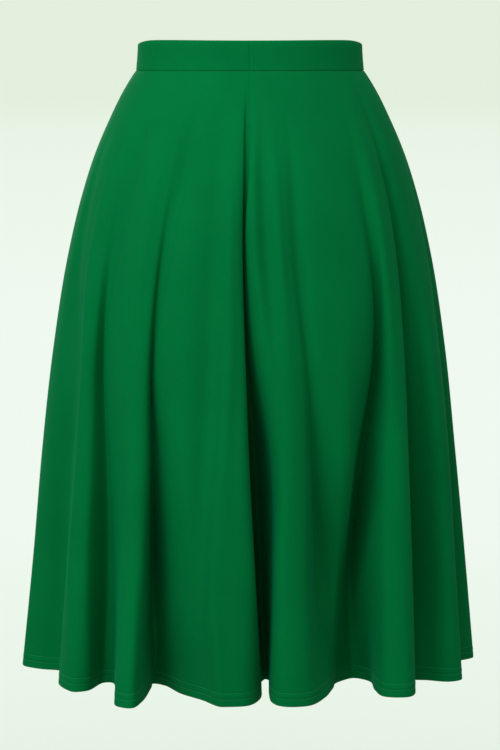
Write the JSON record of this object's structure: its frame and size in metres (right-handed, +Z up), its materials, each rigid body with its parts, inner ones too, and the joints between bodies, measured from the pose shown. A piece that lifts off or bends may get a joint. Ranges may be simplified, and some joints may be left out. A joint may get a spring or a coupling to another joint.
{
  "type": "swing skirt",
  "caption": "Knee-length flared swing skirt in worn form, with a narrow waistband, deep front folds and a concealed back zip.",
  "frame": {"origin": "centre of the waist at the waistband's mid-height, where the wearer's waist carries the skirt", "axes": "+Z up the wearer's body, -Y to the wearer's front, +X to the right as seen from the front"},
  "size_m": [0.5371, 0.4046, 0.733],
  "materials": {
    "panel_knit": "matte crepe knit, emerald green",
    "waistband_knit": "matte crepe knit, doubled and interfaced",
    "zip_tape": "woven tape with a nylon coil, dyed to match",
    "zip_slider": "enamelled zinc alloy, dyed to match",
    "zip_pull": "enamelled zinc alloy, dyed to match"
  },
  "bodies": {
    "skirt": {"panel_front_left": "panel_knit", "panel_front_right": "panel_knit", "panel_back_right": "panel_knit", "panel_back_left": "panel_knit", "waistband_front_left": "waistband_knit", "waistband_front_right": "waistband_knit", "waistband_back_right": "waistband_knit", "waistband_back_left": "waistband_knit", "zip_tape": "zip_tape", "zip_slider": "zip_slider"},
    "pull_tab": {"zip_pull_tab": "zip_pull"}
  },
  "joints": [
    {"name": "pull_tab_hinge", "type": "hinge", "parent": "skirt", "child": "pull_tab", "pos_m": [0, 0.09911, 0.0105], "axis": [1, 0, 0], "range_deg": [0, 170]}
  ]
}
